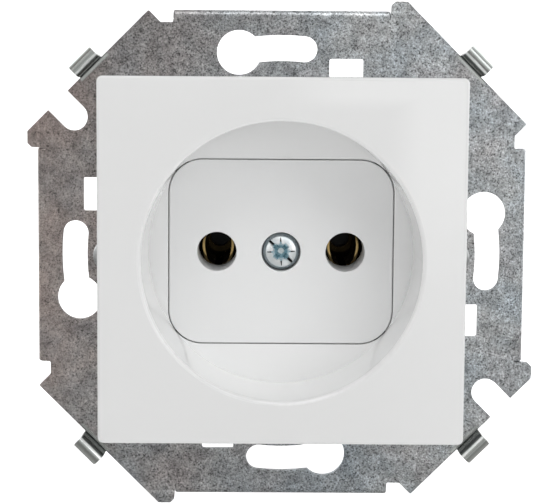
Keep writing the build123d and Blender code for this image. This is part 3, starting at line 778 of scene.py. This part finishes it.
def build_floor():
    """Floor that sweeps up into a backdrop behind the socket."""
    material = floor_material()
    floor_z = cad_box[0][2] - FLOOR_GAP
    profile = [(FLOOR_FRONT, 0.0), (SWEEP_START, 0.0)]
    for i in range(1, SWEEP_STEPS + 1):
        angle = math.pi / 2 * i / SWEEP_STEPS
        profile.append((SWEEP_START + SWEEP_RADIUS * math.sin(angle),
                        SWEEP_RADIUS - SWEEP_RADIUS * math.cos(angle)))
    profile.append((SWEEP_START + SWEEP_RADIUS, BACKDROP_TOP))
    verts = []
    for y, z in profile:
        verts += [(x, y, z + floor_z) for x in (-FLOOR_HALF_WIDTH, FLOOR_HALF_WIDTH)]
    faces = [(2 * i, 2 * i + 1, 2 * i + 3, 2 * i + 2) for i in range(len(profile) - 1)]
    mesh = bpy.data.meshes.new("floor")
    mesh.from_pydata(verts, [], faces)
    floor = link_mesh("floor", mesh)
    mesh.materials.append(material)
    for face in mesh.polygons:
        face.use_smooth = True


def area_light(name, location, size, power, target=(0, 0, 0), glossy=True):
    """A square light facing the target; without glossy it leaves no hot spot on the metal."""
    light = bpy.data.lights.new(name, "AREA")
    light.energy = power
    light.size = size
    ob = bpy.data.objects.new(name, light)
    bpy.context.scene.collection.objects.link(ob)
    ob.location = location
    aim = Vector(target) - Vector(location)
    ob.rotation_euler = aim.to_track_quat("-Z", "Y").to_euler()
    if not glossy:
        ob.visible_glossy = False


def build_lights():
    area_light("right_box", (0.80, -1.00, 0.36), size=0.70, power=2.5)
    area_light("left_box", (-0.85, -1.00, 0.22), size=0.70, power=1.25)
    area_light("top_box", (0.10, -0.90, 0.95), size=1.00, power=2.7)
    area_light("front_fill", (0.05, -1.30, 0.20), size=0.60, power=0.05, glossy=False)
    area_light("over_fill", (-0.05, -0.68, 0.98), size=0.60, power=3.1)
    # lights the left wall of the recess
    area_light("side_fill", (0.85, -0.62, 0.28), size=0.50, power=0.75, glossy=False)
    # soft light from behind, for the housing and the back of the sheet
    behind_wall = (0, 0.02, 0)
    area_light("back_left", (-0.85, 0.80, 0.45), size=0.80, power=2.8, target=behind_wall)
    area_light("back_right", (0.90, 0.70, 0.35), size=0.80, power=2.2, target=behind_wall)


def build_world():
    """White to the camera, dim grey to diffuse rays; reflections see a dark front with a card."""
    world = bpy.data.worlds.new("studio")
    bpy.context.scene.world = world
    graph = Graph(world, "Background")
    direction = graph.coords("Generated")
    rays = graph.make("LightPath").outputs
    x, y, _ = graph.split(direction)
    # 0 to 1 from front to back, and from left to right
    to_back = graph.math("MULTIPLY_ADD", y, 0.5, 0.5)
    to_right = graph.math("MULTIPLY_ADD", x, 0.5, 0.5)
    back_share = graph.ramp(to_back, [(0.0, 0.0), (0.28, 0.0), (0.50, 1.0), (1.0, 1.0)])
    front = graph.ramp(to_right, [(0.30, (0.19, 0.175, 0.165)), (0.62, 0.25)])
    room = graph.mix(back_share, front, 0.70)
    room = graph.mix(rays["Is Diffuse Ray"], room, 0.125)
    card = graph.times(window_card(graph, direction, 1.0), rays["Is Glossy Ray"])
    room = graph.mix(1.0, room, graph.times(card, CARD_STRENGTH), blend="ADD")
    graph.put({"Color": graph.mix(rays["Is Camera Ray"], room, 1.0), "Strength": 1.0})


build_floor()
build_lights()
build_world()

view = bpy.context.scene.view_settings
view.view_transform = "Standard"
view.look = "None"
view.exposure = 0.0

# --------------------------------------------------------------------------
# camera: in front of the socket, a little above it and turned slightly
# --------------------------------------------------------------------------

CAMERA_PITCH = math.radians(6.412)
CAMERA_YAW = math.radians(-0.543)
CAMERA_ROLL = math.radians(0.45)
CAMERA_TARGET = Vector((0.0, -2.0, 0.0))                # mm
CAMERA_OFFSET = Vector((-0.193, 0.537, 261.075))        # mm right, up and back from the target
FOCAL_LENGTH = 115.45799                                # mm
SENSOR_WIDTH = 36.0                                     # mm


def build_camera():
    cp, sp = math.cos(CAMERA_PITCH), math.sin(CAMERA_PITCH)
    cy, sy = math.cos(CAMERA_YAW), math.sin(CAMERA_YAW)
    cr, sr = math.cos(CAMERA_ROLL), math.sin(CAMERA_ROLL)
    pitch = Matrix(((1, 0, 0), (0, cp, -sp), (0, sp, cp)))
    yaw = Matrix(((cy, 0, -sy), (0, 1, 0), (sy, 0, cy)))
    roll = Matrix(((cr, sr, 0), (-sr, cr, 0), (0, 0, 1)))
    # the turns are about right, up and towards the viewer, which are X, Z and -Y of the scene
    to_scene = Matrix(((1, 0, 0), (0, 0, -1), (0, 1, 0)))
    view_axes = (roll @ pitch @ yaw).transposed()
    location = (to_scene @ (view_axes @ CAMERA_OFFSET) + CAMERA_TARGET) * MM

    lens = bpy.data.cameras.new("cam")
    lens.sensor_width = SENSOR_WIDTH
    lens.lens = FOCAL_LENGTH
    lens.clip_start = 0.01
    lens.clip_end = 20.0
    camera = bpy.data.objects.new("cam", lens)
    bpy.context.scene.collection.objects.link(camera)
    camera.matrix_world = Matrix.Translation(location) @ (to_scene @ view_axes).to_4x4()
    bpy.context.scene.camera = camera


build_camera()
